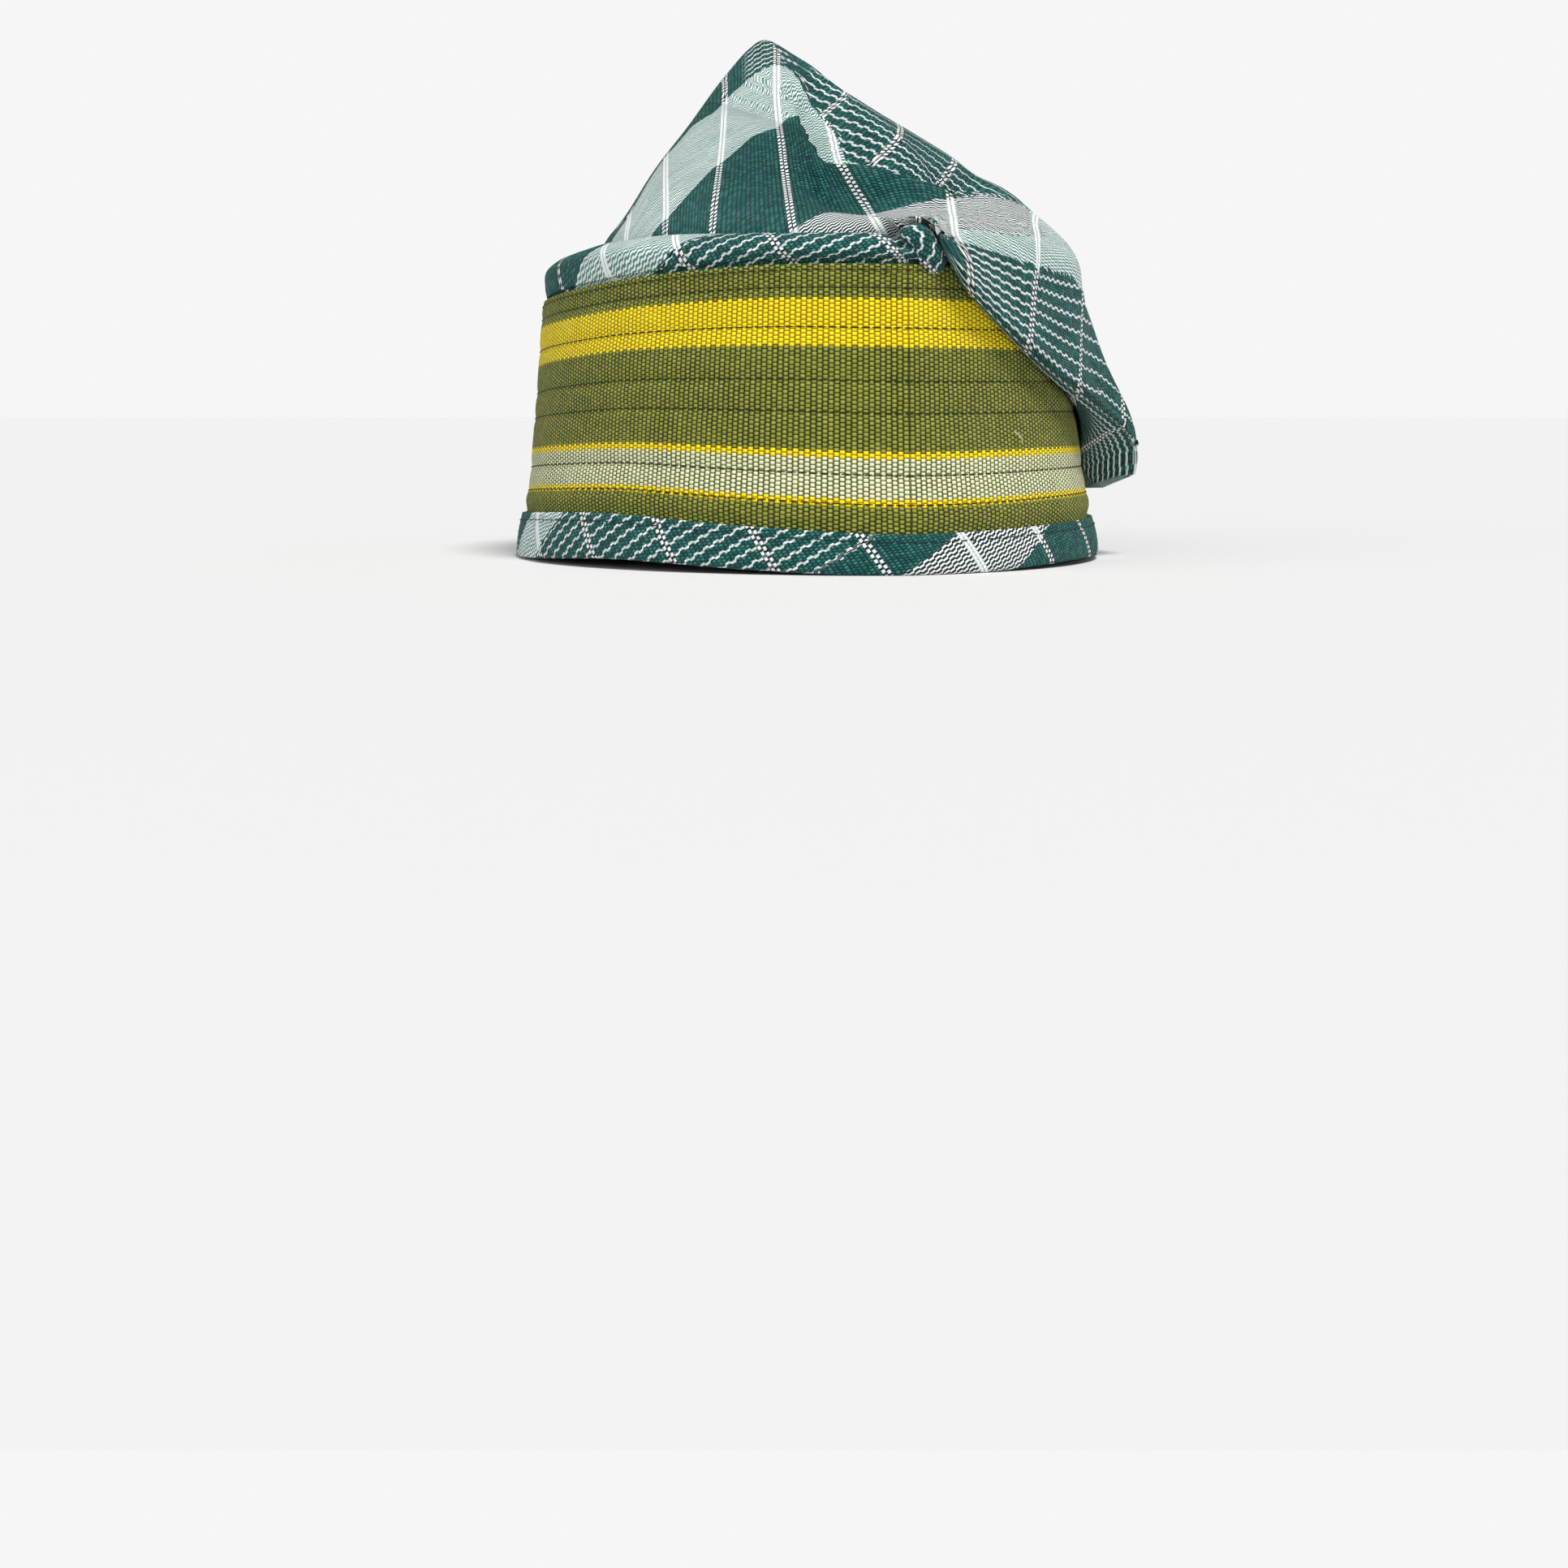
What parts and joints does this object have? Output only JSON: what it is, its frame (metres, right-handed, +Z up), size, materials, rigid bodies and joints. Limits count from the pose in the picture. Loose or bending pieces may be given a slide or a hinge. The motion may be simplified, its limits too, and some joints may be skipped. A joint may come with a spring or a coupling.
{
  "type": "aso-oke cap",
  "caption": "Tall woven cloth cap: a plaid bag folded over to one side above a striped band with a rolled rim and a bound lower edge; worn on the head.",
  "frame": {"origin": "middle of the cap's box at its foot, on the surface that its lower edge stands on", "axes": "+Z up through the crown, -Y toward the front crease, +X toward the wearer's left, where the folded flap hangs"},
  "size_m": [0.1852, 0.2094, 0.1515],
  "materials": {
    "crown_cloth": "hand-woven plaid in dark teal green and pale green-white, with paired white lines",
    "band_cloth": "ribbed hand-woven strip in olive green with a broad yellow stripe and a pale stripe edged in yellow",
    "rim_cloth": "the crown's plaid cut on the bias and rolled",
    "hem_cloth": "the crown's plaid cut on the bias and folded round the edge"
  },
  "bodies": {
    "root": {"crown": "crown_cloth", "band": "band_cloth", "rim_binding": "rim_cloth", "hem_binding": "hem_cloth"}
  },
  "joints": []
}
